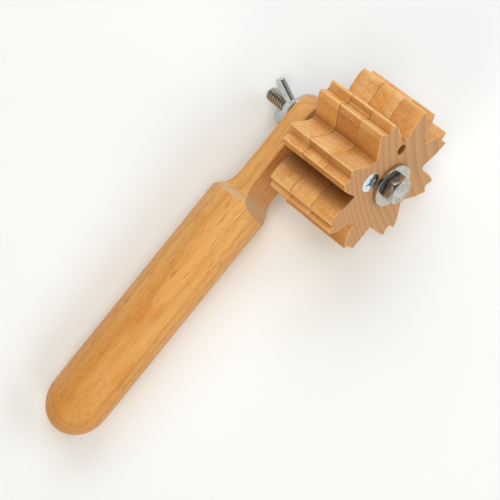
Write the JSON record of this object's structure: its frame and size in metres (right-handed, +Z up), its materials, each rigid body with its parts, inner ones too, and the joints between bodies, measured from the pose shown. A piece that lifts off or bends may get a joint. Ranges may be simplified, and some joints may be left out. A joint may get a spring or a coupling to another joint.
{
  "type": "clay texture wheel",
  "caption": "Wooden roller for texturing clay: a laminated wheel of moulded teeth turns on a hex bolt that a wing nut clamps to a turned handle.",
  "frame": {"origin": "middle of the tool's footprint on the table it lies on", "axes": "+Z up from the table, +X along the handle from its butt towards the wheel, +Y from the bolt's head towards the wing nut"},
  "size_m": [0.1904, 0.0744, 0.0669],
  "materials": {
    "beech": "oiled",
    "beech_face": "sanded, growth rings across the face",
    "beech_middle": "sawn, end grain at the rim",
    "beech_rear": "sanded, long grain at the rim",
    "zinc": "bright zinc plate",
    "steel": "dull zinc plate"
  },
  "bodies": {
    "handle": {"handle": "beech", "axle_bolt": "steel", "head_washer": "zinc", "wheel_washer": "zinc", "lock_nut": "steel"},
    "wheel": {"wheel_ply_front": "beech_face", "wheel_ply_middle": "beech_middle", "wheel_ply_rear": "beech_rear", "ply_screw": "zinc"},
    "rear_washer": {"rear_washer": "zinc"},
    "wing_nut": {"wing_nut": "zinc"}
  },
  "joints": [
    {"name": "wheel_spin", "type": "hinge", "parent": "handle", "child": "wheel", "pos_m": [0.06408, -0.02272, 0.04116], "axis": [0.0131, 0.8562, -0.5165], "continuous": true},
    {"name": "nut_travel", "type": "slide", "parent": "handle", "child": "rear_washer", "axis": [0.0131, 0.8562, -0.5165], "range_m": [0, 0.0109]},
    {"name": "wing_turn", "type": "hinge", "parent": "rear_washer", "child": "wing_nut", "pos_m": [0.06476, 0.02194, 0.01422], "axis": [0.0131, 0.8562, -0.5165], "range_deg": [0, 3089]}
  ],
  "couplings": [
    {"joint": "nut_travel", "follows": "wing_turn", "m_per_rad": 0.00020213}
  ]
}
